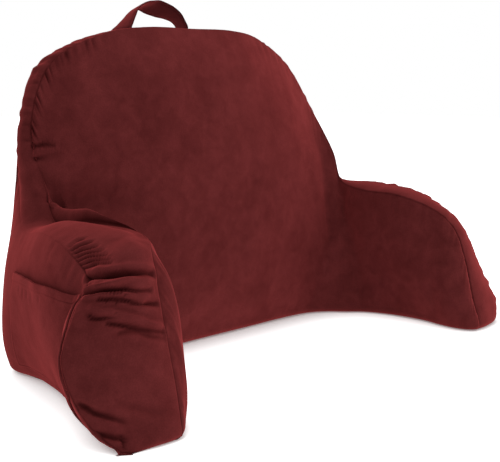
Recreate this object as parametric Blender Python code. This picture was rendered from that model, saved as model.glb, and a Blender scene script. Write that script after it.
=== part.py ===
"""Reading pillow with two arms: a filled back cushion whose arms reach forward on both sides.

The pillow is one stuffed cover, sewn from a front panel that runs on over the inner faces of
the arms, a strip that crosses the top of the back and the arms and comes down the arms' fronts,
an outer panel round the back and sides, and a flat base.  A strap handle is sewn to the rear
seam and a patch pocket to the outside of the left arm.

Frame: X runs across the pillow, the arms reach towards -Y, Z is up, and the base lies on Z = 0.
Left and right are as seen from the front, so the left arm is the one on -X.
"""
import bpy
import bmesh
import numpy as np

MM = 0.001
MIDDLE = (-5.2, -14.6)      # middle of the pillow's outline in the tables' x and y, set on the origin

# ---------------------------------------------------------------- sizes of the stuffed cover
# Each row is one section through the pillow, cut square to its run from the middle of the back
# out to the foot of an arm.  All values are millimetres, and x is measured outwards.
#   inner_x, inner_y            bottom edge of the front panel, on the floor
#   front_x, front_y, front_z   front seam, between the front panel and the strip
#   rear_x, rear_y, rear_z      rear seam, between the strip and the outer panel
#   outer_x, outer_y            bottom edge of the outer panel, on the floor
#   puff_in, puff_top, puff_out how far the stuffing swells each panel
COLUMNS = ("inner_x", "inner_y", "front_x", "front_y", "front_z", "rear_x", "rear_y", "rear_z",
           "outer_x", "outer_y", "puff_in", "puff_top", "puff_out")
BACK = (
    (0, 56, 0, 83, 412, 0, 128, 404, 0, 150, 32, 2, 30),            # middle of the back
    (80, 55, 76, 86, 412, 84, 127, 403, 85, 151, 32, 2, 31),        # quarter
    (151, 55, 141, 95, 402, 149, 125, 395, 158, 151, 30, 2, 31),    # where the top turns down
    (202, 50, 214, 104, 366, 224, 125, 359, 213, 146, 27, 4, 27),   # shoulder
    (229, 35, 256, 88, 296, 251, 117, 294, 245, 135, 20, 8, 8),     # upper side
    (247, 14, 265, 56, 237, 256, 114, 232, 262, 128, 12, 12, 9),    # lower side
)
LEFT_ARM = (
    (262, -9, 261, 35, 185, 285, 69, 178, 275, 107, 7, 5, 18),      # corner with the back
    (271, -46, 258, -12, 193, 310, -4, 183, 275, 59, 8, 6, 21),    # root of the arm
    (272, -90, 247, -71, 191, 325, -62, 176, 291, -3, 12, 9, 21),  # top
    (270, -126, 254, -111, 184, 332, -110, 150, 310, -53, 19, 16, 21),  # bend
    (270, -152, 271, -136, 172, 360, -122, 127, 327, -95, 27, 20, 17),  # upper front
    (273, -170, 276, -156, 115, 383, -130, 79, 337, -127, 21, 20, 9),   # middle front
    (281, -187, 280, -180, 44, 378, -160, 29, 350, -159, 8, 14, 5),     # lower front
    (293, -204, 293, -204, 0, 361, -196, 0, 361, -196, 0, 3, 0),        # foot
)
RIGHT_ARM = (
    (265, -7, 261, 38, 196, 286, 71, 193, 280, 110, 7, 6, 15),      # corner with the back
    (277, -45, 250, -10, 186, 314, -2, 189, 289, 61, 8, 8, 19),     # root of the arm
    (279, -91, 248, -69, 184, 327, -60, 178, 307, 0, 12, 9, 20),    # top
    (272, -125, 261, -120, 168, 333, -98, 152, 321, -50, 16, 10, 21),   # bend
    (269, -152, 272, -151, 142, 348, -113, 125, 336, -94, 19, 12, 20),  # upper front
    (273, -171, 276, -168, 99, 366, -130, 75, 346, -126, 16, 12, 15),   # middle front
    (281, -181, 280, -180, 42, 371, -161, 32, 353, -155, 9, 10, 8),     # lower front
    (290, -186, 290, -186, 0, 348, -178, 0, 348, -178, 0, 3, 0),        # foot
)
FOOT = len(BACK) + len(LEFT_ARM) - 1        # number of the last section on each side
CORNER = len(BACK)                          # number of the section where the arm starts

# Soft roll of the front panel behind the seam at the root of the left arm: place, height in mm.
ROLL = ((-8.2, 0), (-7.4, 4), (-6.8, 9), (-6.1, 13), (-5.4, 12), (-4.6, 6), (-3.8, 0))
ROLL_DOWN = 14 * MM
VALLEYS = ((-7.0, -2.6), (2.6, 7.0))               # where the back flows into an arm
EASINGS = 12

# Places across each panel where the cover has a row of points, from one seam to the next.
# The rows crowd against the seams, where the cover dips into the stitching.
ROWS_IN = (0, .02, .06, .12, .20, .29, .38, .46, .52, .57, .62, .67, .73, .79, .85, .91, .96, .985, 1)
ROWS_TOP = (0, .05, .16, .32, .50, .68, .84, .95, 1)
ROWS_OUT = (0, .015, .04, .10, .19, .30, .42, .54, .66, .77, .87, .94, .98, 1)
STEPS_BACK, STEPS_LEFT, STEPS_RIGHT = 3, 6, 5      # sections between two table rows
ROUND_LOW, ROUND_HIGH = 3.2, 2.6                   # how squarely a panel swells from its edges
SEAM_DIP, SEAM_REACH = 1.6 * MM, 9 * MM            # groove that the stitching pulls in
DIP_SHARE = ((4.6, 1), (5.4, .3), (6.2, .3), (7, 1), (10.2, 1), (12.2, 0))     # place, share of that groove

# Folds pulled into the cover, each along a line on one panel.  side is -1 for the left half and
# +1 for the right; u counts sections from the middle of the back, v runs across the panel from
# its first seam to its second; deep and wide are millimetres, and a negative depth is a trough.
#   side, panel, u0, v0, u1, v1, deep, wide
FOLDS = (
    (-1, "top", 9.50, 0.97, 10.20, 0.10, -5.5, 6),      # deep fold across the arm's bend
    (-1, "top", 9.85, 0.90, 10.35, 0.22, 3.5, 6),       # roll of cloth below it
    (-1, "top", 9.90, 0.75, 10.62, 0.08, -2.5, 4),
    (-1, "top", 10.35, 0.60, 10.85, 0.08, -3.0, 5),
    (-1, "top", 10.41, 0.75, 11.14, 0.10, 3.0, 6),
    (-1, "top", 10.75, 0.62, 11.25, 0.05, -3.0, 6),
    (-1, "top", 11.75, 0.95, 12.30, 0.70, -3.0, 5),     # creases where the front meets the floor
    (-1, "top", 11.95, 0.68, 12.40, 0.26, -2.5, 5),
    (-1, "top", 8.40, 0.92, 8.90, 0.55, -2.0, 5),       # gathers into the outer seam
    (-1, "top", 8.80, 0.95, 9.20, 0.60, -2.0, 5),
    (-1, "in", 4.40, 0.99, 3.40, 0.78, -4.0, 11),       # pull from the side seam
    (-1, "in", 4.60, 0.72, 2.30, 0.53, -6.0, 18),       # hollow over the root of the left arm
    (-1, "in", 5.30, 0.86, 3.40, 0.55, 4.0, 15),        # roll below it
    (1, "top", 9.40, 0.60, 9.70, 0.05, -2.0, 5),
    (1, "top", 10.20, 0.70, 10.50, 0.10, -2.0, 5),
)


# ---------------------------------------------------------------- sizes of the sewn-on pieces
# Upper edge of the pocket: section number and place down the outer panel.  After the mouth it
# runs along the rear seam, down the front of the arm.
POCKET_TOP = ((6.5, .235), (6.9, .248), (7.7, .240), (8.5, .172), (9.05, .100), (9.4, .040), (11.5, .040))
POCKET_BACK_EDGE, POCKET_MOUTH, POCKET_FRONT_EDGE = 39 / 6, 57 / 6, 69 / 6     # section numbers
POCKET_FOOT = .90                           # its lower edge, down the outer panel
POCKET_THICK, HEM_THICK, HEM_DEEP = 2.0 * MM, 1.0 * MM, .06
POCKET_LIFT, POCKET_GAPE, POCKET_EASE = 0.7 * MM, 2.0 * MM, .25

STRAP_WIDE, STRAP_THICK, STRAP_LIFT = 33 * MM, 2.4 * MM, 0.9 * MM
TABS = (-0.84, 0.58)                        # sections where the strap's two ends are sewn
TAB_ROWS = (.118, .100, .082, .064)         # places down the outer panel, a tab's end first
# The strap between its tabs: its middle in millimetres, then the way its width lies.
HANDLE = (
    (-72, 142, 391, -0.97, 0.24, 0.00), (-70.5, 147, 400, -0.72, 0.69, -0.03),
    (-67.5, 150.4, 409.8, -0.30, 0.95, -0.07), (-57.5, 154.4, 418.5, -0.01, 0.99, -0.09),
    (-48, 157.4, 427, 0.20, 0.97, -0.06), (-39, 159.4, 435.4, 0.34, 0.94, -0.07),
    (-28.5, 160.4, 442, 0.38, 0.92, -0.13), (-16.5, 160.9, 445, 0.36, 0.89, -0.28),
    (-2.5, 160.9, 443.4, 0.24, 0.81, -0.54), (13, 159.9, 439.6, 0.21, 0.81, -0.54),
    (26, 158.4, 435.6, 0.28, 0.85, -0.45), (36, 156.4, 430, 0.32, 0.88, -0.35),
    (42.6, 154.4, 422.5, 0.28, 0.95, -0.16), (47, 152.9, 413.5, 0.30, 0.95, -0.09),
    (49, 148.5, 401, 0.70, 0.71, -0.03), (49, 142, 391, 0.97, 0.24, 0.00),
)
HANDLE_STEPS = 45
STRAP_ACROSS = (-1, -.86, -.4, 0, .4, .86, 1)


def through_rows(table, u):
    """Smooth curve through the rows of a table, read at the places u (Catmull-Rom)."""
    rows = np.asarray(table, float)
    rows = np.vstack([2 * rows[0] - rows[1], rows, 2 * rows[-1] - rows[-2]])
    i = np.clip(np.floor(u).astype(int), 0, len(table) - 2)
    t = (u - i)[:, None]
    p0, p1, p2, p3 = rows[i], rows[i + 1], rows[i + 2], rows[i + 3]
    return 0.5 * (2 * p1 + (p2 - p0) * t + (2 * p0 - 5 * p1 + 4 * p2 - p3) * t ** 2
                  + (3 * p1 - p0 - 3 * p2 + p3) * t ** 3)


def sections(place):
    """Section values at signed places: negative on the left half, positive on the right."""
    halves = {-1: np.array(BACK + LEFT_ARM, float), 1: np.array(BACK + RIGHT_ARM, float)}
    across = [COLUMNS.index(name) for name in ("inner_x", "front_x", "rear_x", "outer_x")]
    whole = []
    for side in (-1, 1):
        half = halves[side].copy()
        half[:, across] *= side
        whole.append(half)
    table = np.vstack([whole[0][:0:-1], whole[1]])
    return through_rows(table, np.asarray(place, float) + FOOT) * MM


# ---------------------------------------------------------------- the stuffed cover as a grid
# Round each section the grid runs up the front panel, over the strip, down the outer panel and
# back along the base.
PANELS = (
    ("in", "inner", "front", "puff_in", ROWS_IN),
    ("top", "front", "rear", "puff_top", ROWS_TOP),
    ("out", "rear", "outer", "puff_out", ROWS_OUT),
    ("base", "outer", "inner", None, ROWS_TOP),
)


def edge_line(values, edge):
    """Points of one long edge of the cover, a row for each section."""
    line = np.zeros((len(values), 3))
    line[:, 0] = values[:, COLUMNS.index(edge + "_x")]
    line[:, 1] = values[:, COLUMNS.index(edge + "_y")]
    if edge in ("front", "rear"):
        line[:, 2] = np.maximum(values[:, COLUMNS.index(edge + "_z")], 0)
    return line


def swell(v, panel):
    """Height of a stuffed panel above its chord, from 0 at both edges to 1 in the middle."""
    low = {"in": v < 0.5, "out": v > 0.5}.get(panel, np.zeros(len(v), bool))
    return 1 - np.abs(1 - 2 * v) ** np.where(low, ROUND_LOW, ROUND_HIGH)


def unit(vectors):
    """Vectors of length one."""
    return vectors / np.maximum(np.linalg.norm(vectors, axis=-1, keepdims=True), 1e-9)


def outward(grid):
    """Unit normals of the grid, worked out from its neighbours both ways."""
    ring = np.roll(grid, -1, axis=1) - np.roll(grid, 1, axis=1)
    return unit(np.cross(np.gradient(grid, axis=0), ring))


class Cover:
    """The pillow's outer surface: its sections, its columns of points and their positions."""

    def __init__(self):
        back = np.arange(0, CORNER * STEPS_BACK) / STEPS_BACK
        left = CORNER + np.arange(0, (FOOT - CORNER) * STEPS_LEFT + 1) / STEPS_LEFT
        right = CORNER + np.arange(0, (FOOT - CORNER) * STEPS_RIGHT + 1) / STEPS_RIGHT
        self.place = np.concatenate([-left[::-1], -back[:0:-1], back, right])
        values = sections(self.place)
        self.first, self.rows, blocks = {}, {}, []
        for panel, start, end, puff, rows in PANELS:
            v = np.array(rows)
            a, b = edge_line(values, start), edge_line(values, end)
            flat = a[:, None] * (1 - v)[None, :, None] + b[:, None] * v[None, :, None]
            if puff:
                normal = unit(np.cross(np.gradient(flat, axis=0), (b - a)[:, None]))
                height = np.maximum(values[:, COLUMNS.index(puff)], 0)
                flat = flat + normal * (height[:, None] * swell(v, panel)[None])[..., None]
            if panel == "in":
                below_seam = np.linalg.norm(b - a, axis=1)[:, None] * (1 - v)
                flat = self.eased(self.rolled(flat, normal, below_seam), v)
            self.first[panel] = sum(block.shape[1] for block in blocks)
            self.rows[panel] = v
            blocks.append(flat[:, :-1])
        self.grid = np.concatenate(blocks, axis=1)
        self.columns = self.grid.shape[1]
        self.grid[..., 2] = np.maximum(self.grid[..., 2], 0)
        strip = [self.first["top"] + j for j in range(1, len(ROWS_TOP) - 1)]
        base = [self.columns - j for j in range(1, len(ROWS_TOP) - 1)]
        for ring in (self.grid[0], self.grid[-1]):
            ring[base] = ring[strip]            # the foot closes on one line, bowed with the strip
        self.stitch_and_fold()
        self.grid[..., 2] = np.maximum(self.grid[..., 2], 0)
        self.normal = outward(self.grid)

    def rolled(self, points, normal, below_seam):
        """The front panel with its soft roll raised just below the seam."""
        rise = np.interp(self.place, *zip(*ROLL))[:, None] * MM
        away = below_seam / ROLL_DOWN
        points = points + normal * (rise * (1 - np.exp(-1.7 * away)) * np.exp(-away / 4))[..., None]
        points[..., 2] += 1.85 * rise * away * np.exp(1 - away)
        return points

    def eased(self, points, v):
        """The front panel with its valleys evened out, less and less towards the seam."""
        hold = np.minimum(1, (1 - v) / 0.07)[:, None]
        for start, end in VALLEYS:
            window = np.clip(np.minimum(self.place - start, end - self.place) / 0.8, 0, 1)[1:-1, None, None]
            for _ in range(EASINGS):
                points[1:-1] += 0.5 * window * hold * ((points[:-2] + points[2:]) / 2 - points[1:-1])
        return points

    def at(self, panel, place, v, lift=0.0):
        """A point on the cover's facets, raised by lift along the normal."""
        i = np.interp(place, self.place, np.arange(len(self.place)))
        j = self.first[panel] + np.interp(v, self.rows[panel], np.arange(len(self.rows[panel])))
        i0, j0 = int(min(i, len(self.place) - 2)), int(j)
        s, t = i - i0, j - j0
        j1 = (j0 + 1) % self.columns
        j0 %= self.columns
        weights = (((1 - s) * (1 - t), i0, j0), (s * (1 - t), i0 + 1, j0),
                   ((1 - s) * t, i0, j1), (s * t, i0 + 1, j1))
        return sum(w * (self.grid[a, b] + lift * self.normal[a, b]) for w, a, b in weights)

    def stitch_and_fold(self):
        """Sink the two long seams and press the folds into the cover."""
        normal = outward(self.grid)
        self.normal = np.zeros_like(normal)
        sink = np.zeros(self.grid.shape[:2])
        shallow = np.interp(np.abs(self.place), *zip(*DIP_SHARE))
        for panel in ("top", "out"):
            seam = self.first[panel]
            for way in (-1, 1):
                reach = np.zeros(len(self.place))
                for step in range(6):
                    here, there = seam + way * step, seam + way * (step + 1)
                    fall = np.exp(-(reach / SEAM_REACH) ** 2) * (1 if step else 0.5)
                    sink[:, here] -= SEAM_DIP * fall * shallow
                    reach = reach + np.linalg.norm(self.grid[:, there] - self.grid[:, here], axis=1)
        for side, panel, u0, v0, u1, v1, deep, wide in FOLDS:
            line = np.array([self.at(panel, side * (u0 + (u1 - u0) * t), v0 + (v1 - v0) * t)
                             for t in np.linspace(0, 1, 9)])
            a, span = line[:-1], np.diff(line, axis=0)
            gap = self.grid[:, :, None] - a
            t = np.clip((gap * span).sum(3) / (span ** 2).sum(1), 0, 1)
            away = np.linalg.norm(gap - t[..., None] * span, axis=3)
            nearest = away.argmin(2)
            along = (nearest + np.take_along_axis(t, nearest[..., None], 2)[..., 0]) / len(a)
            height = np.exp(-(away.min(2) / (wide * MM)) ** 2) * np.sin(np.pi * (0.1 + 0.8 * along))
            sink += deep * MM * height
        sink[:, self.first["base"]:] = 0
        sink[:, 0] = 0
        sink[[0, -1]] = 0
        self.grid += normal * sink[..., None]


# ---------------------------------------------------------------- sewn-on sheets as grids
def pocket_grids(cover):
    """Outer and inner faces of the pocket, lying over the outer panel of the left arm."""
    outer, inner = [], []
    steps = round((POCKET_FRONT_EDGE - POCKET_BACK_EDGE) * STEPS_LEFT)
    for u in np.linspace(POCKET_BACK_EDGE, POCKET_FRONT_EDGE, steps + 1):
        mouth = np.clip((u - POCKET_BACK_EDGE) / (POCKET_MOUTH - POCKET_BACK_EDGE), 0, 1)
        top = np.interp(u, *zip(*POCKET_TOP))
        hem = top + HEM_DEEP
        levels = [(top, HEM_THICK), (hem, HEM_THICK), (hem + HEM_DEEP / 5, 0)]
        levels += [(max(v, hem + HEM_DEEP / 5), 0) for v in ROWS_OUT if 0.1 < v < POCKET_FOOT]
        rows = ([], [])
        for v, fold in levels + [(POCKET_FOOT, 0)]:
            near_top = np.clip(1 - (v - top) / POCKET_EASE, 0, 1) ** 2
            under = POCKET_LIFT + POCKET_GAPE * near_top * np.sin(np.pi * mouth)
            over = under + POCKET_THICK + (fold if mouth < 1 else 0)
            for row, lift in zip(rows, (over, under)):
                row.append(cover.at("out", -u, v, lift))
        outer.append(rows[0])
        inner.append(rows[1])
    return np.array(outer), np.array(inner)


def strap_grids(cover):
    """Both faces of the handle strap: flat tabs on the back, turning edge-on as it rises."""
    ends = []
    for tab, way in zip(TABS, (-1, 1)):
        sides = [cover.at("out", tab + step, TAB_ROWS[0]) for step in (-0.1, 0.1)]
        across = way * unit(sides[1] - sides[0])
        ends.append([(*cover.at("out", tab, v, STRAP_LIFT + STRAP_THICK / 2), *across) for v in TAB_ROWS])
    rise = [(x * MM, y * MM, z * MM, *wide) for x, y, z, *wide in HANDLE]
    rows = ends[0] + rise + ends[1][::-1]
    path = through_rows(rows, np.linspace(0, len(rows) - 1, HANDLE_STEPS))
    along = unit(np.gradient(path[:, :3], axis=0))
    wide = unit(path[:, 3:] - along * (path[:, 3:] * along).sum(1, keepdims=True))
    thick = np.cross(along, wide)[:, None] * STRAP_THICK / 2
    across = np.array(STRAP_ACROSS) * STRAP_WIDE / 2
    sheet = path[:, None, :3] + wide[:, None] * across[None, :, None]
    return sheet + thick, sheet - thick


# ---------------------------------------------------------------- solids
def finish(name, bm, colour, roughness, collection):
    """Weld and orient a mesh, and make it a named object with its own material."""
    bmesh.ops.remove_doubles(bm, verts=bm.verts, dist=0.00002)
    bmesh.ops.triangulate(bm, faces=bm.faces)
    bmesh.ops.recalc_face_normals(bm, faces=bm.faces)
    bmesh.ops.translate(bm, verts=bm.verts, vec=(-MIDDLE[0] * MM, -MIDDLE[1] * MM, 0))
    mesh = bpy.data.meshes.new(name)
    bm.to_mesh(mesh)
    bm.free()
    material = bpy.data.materials.new(name)
    material.use_nodes = True
    shader = material.node_tree.nodes["Principled BSDF"]
    shader.inputs["Base Color"].default_value = colour
    shader.inputs["Roughness"].default_value = roughness
    mesh.materials.append(material)
    piece = bpy.data.objects.new(name, mesh)
    collection.objects.link(piece)
    return piece


def closed_sheet(outer, inner):
    """A thin solid from two grids of the same size, joined round their edges."""
    rows, columns = outer.shape[:2]
    bm = bmesh.new()
    faces = [[[bm.verts.new(p) for p in row] for row in side] for side in (outer, inner)]
    for side, flip in zip(faces, (False, True)):
        for i in range(rows - 1):
            for j in range(columns - 1):
                quad = [side[i][j], side[i + 1][j], side[i + 1][j + 1], side[i][j + 1]]
                bm.faces.new(quad[::-1] if flip else quad)
    rim = ([(0, j) for j in range(columns)] + [(i, columns - 1) for i in range(1, rows)]
           + [(rows - 1, j) for j in range(columns - 2, -1, -1)]
           + [(i, 0) for i in range(rows - 2, 0, -1)])
    for (i0, j0), (i1, j1) in zip(rim, rim[1:] + rim[:1]):
        bm.faces.new([faces[0][i0][j0], faces[0][i1][j1], faces[1][i1][j1], faces[1][i0][j0]])
    return bm


def pillow_body(cover, collection):
    """The filled cushion, one solid.  Each foot closes where the strip comes down on the base."""
    bm = bmesh.new()
    rings = [[bm.verts.new(p) for p in ring] for ring in cover.grid]
    for ring, following in zip(rings, rings[1:]):
        for j in range(cover.columns):
            k = (j + 1) % cover.columns
            bm.faces.new([ring[j], following[j], following[k], ring[k]])
    return finish("pillow_body", bm, (0.10, 0.022, 0.022, 1), 0.9, collection)


def side_pocket(cover, collection):
    """The patch pocket: a hemmed sheet, sewn down on three sides and open along the top."""
    bm = closed_sheet(*pocket_grids(cover))
    return finish("side_pocket", bm, (0.12, 0.027, 0.026, 1), 0.9, collection)


def carry_handle(cover, collection):
    """The strap handle, both ends sewn to the back just under the rear seam."""
    bm = closed_sheet(*strap_grids(cover))
    return finish("carry_handle", bm, (0.09, 0.021, 0.022, 1), 0.88, collection)


def build():
    for old in list(bpy.data.objects):
        bpy.data.objects.remove(old, do_unlink=True)
    collection = bpy.data.collections.new("reading_pillow")
    bpy.context.scene.collection.children.link(collection)
    cover = Cover()
    for make in (pillow_body, side_pocket, carry_handle):
        make(cover, collection)


build()
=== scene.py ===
# %% [markdown]
# # A reading pillow with arms
#
# The real pillow is one sewn cover, stuffed with loose fibre: a tall back, and two arms that
# reach forward.  A patch pocket is sewn to the outside of one arm and a strap handle to the top.
# The CAD part already holds the size and the place of all three.  Here each gets the look of
# brushed, suede-like cloth that swells between sunk seams, with puckers, creases and gathers.
#
# Left and right are as seen from the front, where the camera stands.

# %% Open the CAD frame
import math

import bpy
import numpy as np
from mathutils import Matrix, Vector, noise
from mathutils.bvhtree import BVHTree
from mathutils.geometry import barycentric_transform


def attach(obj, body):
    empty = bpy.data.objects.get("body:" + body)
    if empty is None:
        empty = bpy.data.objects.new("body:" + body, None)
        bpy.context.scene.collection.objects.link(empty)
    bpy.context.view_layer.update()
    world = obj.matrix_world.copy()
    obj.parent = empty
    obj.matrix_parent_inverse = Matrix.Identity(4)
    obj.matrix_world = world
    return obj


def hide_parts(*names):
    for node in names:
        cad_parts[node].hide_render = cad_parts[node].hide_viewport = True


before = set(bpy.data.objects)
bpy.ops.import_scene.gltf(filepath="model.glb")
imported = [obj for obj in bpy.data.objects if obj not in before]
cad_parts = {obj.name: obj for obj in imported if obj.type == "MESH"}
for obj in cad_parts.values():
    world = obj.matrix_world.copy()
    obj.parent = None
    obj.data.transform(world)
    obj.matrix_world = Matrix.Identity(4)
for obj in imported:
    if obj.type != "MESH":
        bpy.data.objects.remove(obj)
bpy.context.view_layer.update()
MM = 0.001
print("CAD nodes:", sorted(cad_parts))

# %% [markdown]
# ## The camera
#
# A camera is judged by what it sees, so it comes first.  The photograph looks at the pillow from
# its left, a little above the arms.  A long lens keeps the two arms close in size, as there.

# %% Stand the camera where the photograph was taken
EYE, AIM = Vector((-0.949, -0.890, 0.348)), Vector((0.005, 0.015, 0.198))

bpy.ops.object.select_all(action="DESELECT")
bpy.ops.object.camera_add(location=EYE, rotation=(AIM - EYE).to_track_quat("-Z", "Y").to_euler())
camera = bpy.context.object
camera.name = "camera"
camera.data.lens, camera.data.sensor_width = 74.16, 36
camera.data.shift_x, camera.data.shift_y = 0.022, -0.072
bpy.context.scene.camera = camera
print("camera is", round((AIM - EYE).length, 3), "m from the middle of the pillow")

# %% [markdown]
# ## Floor
#
# The photograph is a studio picture on white, with a short soft shadow under the pillow.  A lit
# plane would turn grey towards its edges, so this one glows, and glows less close to the pillow.
# The measure is ambient occlusion, leaning to the side the light comes from, the camera's left.

# %% Lay the floor
def plain_material(name, colour, roughness):
    """A material with one Principled shader, and that shader."""
    made = bpy.data.materials.new(name)
    made.use_nodes = True
    shader = made.node_tree.nodes["Principled BSDF"]
    shader.inputs["Base Color"].default_value = (*colour, 1)
    shader.inputs["Roughness"].default_value = roughness
    return made, shader


bpy.ops.mesh.primitive_plane_add(size=14, location=(0, 0, -0.0005))
floor = bpy.context.object
floor.name = "studio_floor"
white, white_shader = plain_material("white floor", (0.93, 0.93, 0.93), 0.85)
white_shader.inputs["Emission Color"].default_value = (1, 1, 1, 1)
floor.data.materials.append(white)
print("floor:", floor.name, "with", white.name)

# %% Let it glow, and less where the pillow stands close
SHADOW_REACH = 0.09                         # metres from the pillow
TO_THE_LIGHT = (-0.38, 0.40, 0.83)
GLOW = {"From Min": 0.25, "From Max": 0.88, "To Min": 0.15, "To Max": 1.00}    # open floor -> its glow
GLOW_ON_CLOTH = 0.5                         # what the pillow gets of it

wires = white.node_tree
openness, glow, lean, sight, choice = (wires.nodes.new(f"ShaderNode{kind}") for kind in (
    "AmbientOcclusion", "MapRange", "CombineXYZ", "LightPath", "Mix"))
openness.inputs["Distance"].default_value = SHADOW_REACH
for axis, value in zip("XYZ", TO_THE_LIGHT):
    lean.inputs[axis].default_value = value
for name, value in GLOW.items():
    glow.inputs[name].default_value = value
choice.inputs["A"].default_value = GLOW_ON_CLOTH
for output, entry in ((lean.outputs["Vector"], openness.inputs["Normal"]),
                      (openness.outputs["AO"], glow.inputs["Value"]),
                      (sight.outputs["Is Camera Ray"], choice.inputs["Factor"]),
                      (glow.outputs["Result"], choice.inputs["B"]),
                      (choice.outputs["Result"], white_shader.inputs["Emission Strength"])):
    wires.links.new(output, entry)
print("the floor's shadow reaches", SHADOW_REACH, "m")

# %% [markdown]
# ## Light
#
# Three broad soft boxes shape the pillow: the strongest in front and above, a weaker one on the
# right, and one overhead for the top.  Floor and world look white to the camera but light the
# pillow less, so the cloth keeps its depth.

# %% Hang the lamps and light the world
LAMP_AIM = Vector((0, 0, 0.15))             # the middle of the seat


def lamp(name, place, size, power):
    """A square soft box that faces the pillow."""
    place = Vector(place)
    turn = (LAMP_AIM - place).to_track_quat("-Z", "Y").to_euler()
    bpy.ops.object.light_add(type="AREA", location=place, rotation=turn)
    made = bpy.context.object
    made.name = name
    made.data.size, made.data.energy = size, power


lamp("key_lamp", (0.4, -1.9, 2.1), 2.0, 16)
lamp("fill_lamp", (1.7, -1.6, 1.3), 1.8, 11)
lamp("top_lamp", (0.2, 0.4, 2.2), 1.6, 15)

WORLD_SEEN, WORLD_ON_CLOTH = 1.0, 0.54

world = bpy.data.worlds.new("white studio")
bpy.context.scene.world = world
world.use_nodes = True
wires = world.node_tree
for old in list(wires.nodes):
    wires.nodes.remove(old)
lit, seen, sight, mix, sky = (wires.nodes.new(f"ShaderNode{kind}") for kind in (
    "Background", "Background", "LightPath", "MixShader", "OutputWorld"))
for background, strength in ((lit, WORLD_ON_CLOTH), (seen, WORLD_SEEN)):
    background.inputs["Color"].default_value = (1, 1, 1, 1)
    background.inputs["Strength"].default_value = strength
wires.links.new(sight.outputs["Is Camera Ray"], mix.inputs["Fac"])
wires.links.new(lit.outputs[0], mix.inputs[1])
wires.links.new(seen.outputs[0], mix.inputs[2])
wires.links.new(mix.outputs[0], sky.inputs["Surface"])
bpy.context.scene.view_settings.view_transform = "Standard"

# %% [markdown]
# ## The cut of the cover
#
# A cover like this is sewn from long panels.  The front panel runs over the back and on over the
# inner faces of both arms.  A strip crosses the top of the back and the arms and comes down the
# arms' fronts.  An outer panel goes round the back and the sides, and the base is flat.
#
# Such a shape could be sculpted, but it is easier to read as a table: each row is one section
# through the pillow, and a smooth curve through the rows gives every section between them.  The
# numbers are the CAD part's, so the two agree.  A few touches are the look's own: the tuck here,
# and further on a skewed strip, a fuller roll at the root of the left arm and softer valleys.

# %% Sections from the middle of the back to the foot of an arm, in millimetres
# inner: bottom edge of the front panel.  front: seam from the front panel to the strip.
# rear: seam from the strip to the outer panel.  outer: bottom edge of the outer panel.
# The last three say how far the stuffing swells the front panel, the strip and the outer panel.
COLUMNS = ("inner_x", "inner_y", "front_x", "front_y", "front_z", "rear_x", "rear_y", "rear_z",
           "outer_x", "outer_y", "swell_in", "swell_top", "swell_out")
BACK = (
    (0, 56, 0, 83, 412, 0, 128, 404, 0, 150, 32, 2, 30),
    (80, 55, 76, 86, 412, 84, 127, 403, 85, 151, 32, 2, 31),
    (151, 55, 141, 95, 402, 149, 125, 395, 158, 151, 30, 2, 31),
    (202, 50, 214, 104, 366, 224, 125, 359, 213, 146, 27, 4, 27),
    (229, 35, 256, 88, 296, 251, 117, 294, 245, 135, 20, 8, 8),
    (247, 14, 265, 56, 237, 256, 114, 232, 262, 128, 12, 12, 9),
)
LEFT_ARM = (
    (262, -9, 261, 35, 185, 285, 69, 178, 275, 107, 7, 5, 18),
    (271, -46, 258, -12, 193, 310, -4, 183, 275, 59, 8, 6, 21),
    (272, -90, 247, -71, 191, 325, -62, 176, 291, -3, 12, 9, 21),
    (270, -126, 254, -111, 184, 332, -110, 150, 310, -53, 19, 16, 21),
    (270, -152, 271, -136, 172, 360, -122, 127, 327, -95, 27, 20, 17),
    (273, -170, 276, -156, 115, 383, -130, 79, 337, -127, 21, 20, 9),
    (281, -187, 280, -180, 44, 378, -160, 29, 350, -159, 8, 14, 5),
    (293, -204, 293, -204, 0, 361, -196, 0, 361, -196, 0, 3, 0),
)
RIGHT_ARM = (
    (265, -7, 261, 38, 196, 286, 71, 193, 280, 110, 7, 6, 15),
    (277, -45, 250, -10, 186, 314, -2, 189, 289, 61, 8, 8, 19),
    (279, -91, 248, -69, 184, 327, -60, 178, 307, 0, 12, 9, 20),
    (272, -125, 261, -120, 168, 333, -98, 152, 321, -50, 16, 10, 21),
    (269, -152, 272, -151, 142, 348, -113, 125, 336, -94, 19, 12, 20),
    (273, -171, 276, -168, 99, 366, -130, 75, 346, -126, 16, 12, 15),
    (281, -181, 280, -180, 42, 371, -161, 32, 353, -155, 9, 10, 8),
    (290, -186, 290, -186, 0, 348, -178, 0, 348, -178, 0, 3, 0),
)
FOOT = len(BACK) + len(LEFT_ARM) - 1        # number of the last section, at an arm's foot
TUCK = (16, 22, -2.5)                       # mm that the stuffed face pulls the left front seam in by
TUCK_AT, TUCK_REACH = 5.05, 0.85            # section where it pulls most, and how many it reaches
MIDDLE = np.array((-5.2, -14.6, 0)) * MM    # the tables' point that stands on the origin
print("the foot of each arm is section", FOOT)

# %% Read a table as a smooth curve
def through_rows(table, u):
    """The smooth curve through a table's rows, read at the places u."""
    rows = np.asarray(table, float)
    rows = np.vstack([2 * rows[0] - rows[1], rows, 2 * rows[-1] - rows[-2]])
    i = np.clip(np.floor(u).astype(int), 0, len(table) - 2)
    t = (u - i)[:, None]
    a, b, c, d = rows[i], rows[i + 1], rows[i + 2], rows[i + 3]
    return 0.5 * (2 * b + (c - a) * t + (2 * a - 5 * b + 4 * c - d) * t ** 2
                  + (3 * b - a - 3 * c + d) * t ** 3)


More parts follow.
